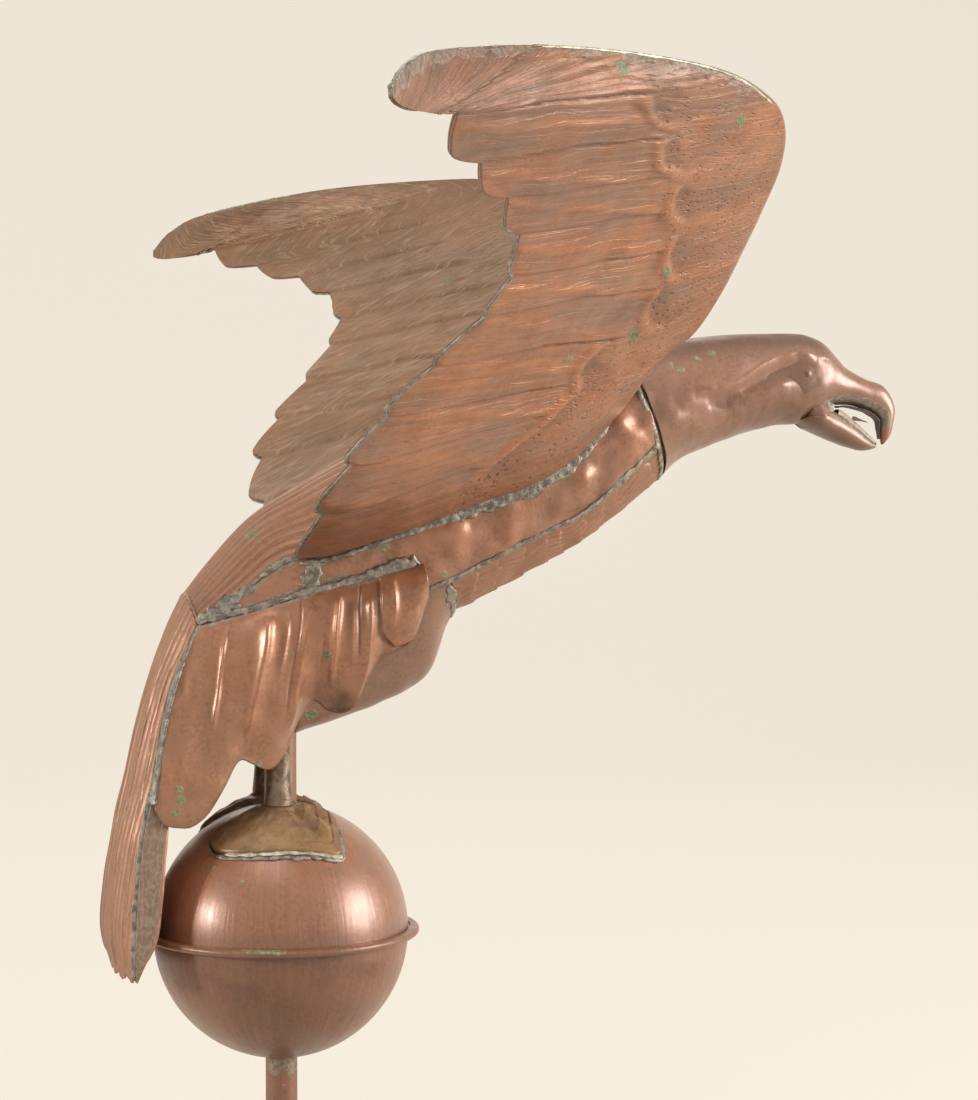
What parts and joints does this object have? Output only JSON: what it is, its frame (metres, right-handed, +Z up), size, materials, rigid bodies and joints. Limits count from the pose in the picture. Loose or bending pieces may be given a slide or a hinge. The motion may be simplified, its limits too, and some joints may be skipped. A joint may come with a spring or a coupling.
{
  "type": "eagle weathervane",
  "caption": "Hollow sheet-metal eagle weathervane with raised spread wings, standing on a seamed ball over a turning tube that drops on a fixed spindle.",
  "frame": {"origin": "centre of the spindle's flat foot, on the vane's turning axis", "axes": "+Z up along the turning axis, +X the way the beak points, +Y towards the bird's left wing"},
  "size_m": [0.4937, 1.0138, 0.7321],
  "materials": {
    "copper": "weathered brown copper sheet, satin",
    "copper_bright": "rubbed orange-brown copper sheet, satin",
    "copper_dark": "dark brown copper sheet, semi-gloss",
    "brass_cast": "dull cast brass",
    "lead_coated": "copper strip under grey lead solder",
    "spindle_iron": "bare dark iron rod",
    "bearing_steel": "greased bearing steel"
  },
  "bodies": {
    "spindle": {"spindle": "spindle_iron"},
    "pivot": {"pivot_ball": "bearing_steel"},
    "vane": {"flank_right": "copper_bright", "flank_left": "copper_bright", "back_panel": "copper", "breast_panel": "copper", "belly_panel": "copper_dark", "head_right": "copper_dark", "head_left": "copper_dark", "lower_beak": "copper_dark", "palate_strip": "lead_coated", "jaw_strip": "lead_coated", "tongue": "lead_coated", "neck_collar": "lead_coated", "wing_upper_right": "copper", "wing_upper_left": "copper", "wing_lower_right": "copper_bright", "wing_lower_left": "copper_bright", "tail_upper": "copper", "tail_lower": "copper", "thigh_right": "copper_bright", "thigh_left": "copper_bright", "foot_right": "brass_cast", "foot_left": "brass_cast", "leg_right": "brass_cast", "leg_left": "brass_cast", "ball_upper": "copper", "ball_lower": "copper", "ball_bead": "copper_dark", "vane_tube": "copper", "bearing_plug": "bearing_steel", "plug_pin": "bearing_steel", "guide_bush": "brass_cast"}
  },
  "joints": [
    {"name": "vane_lift", "type": "slide", "parent": "spindle", "child": "pivot", "axis": [0, 0, 1], "range_m": [0, 0.35]},
    {"name": "vane_spin", "type": "hinge", "parent": "pivot", "child": "vane", "pos_m": [0, 0, 0.44734], "axis": [0, 0, 1], "continuous": true}
  ]
}
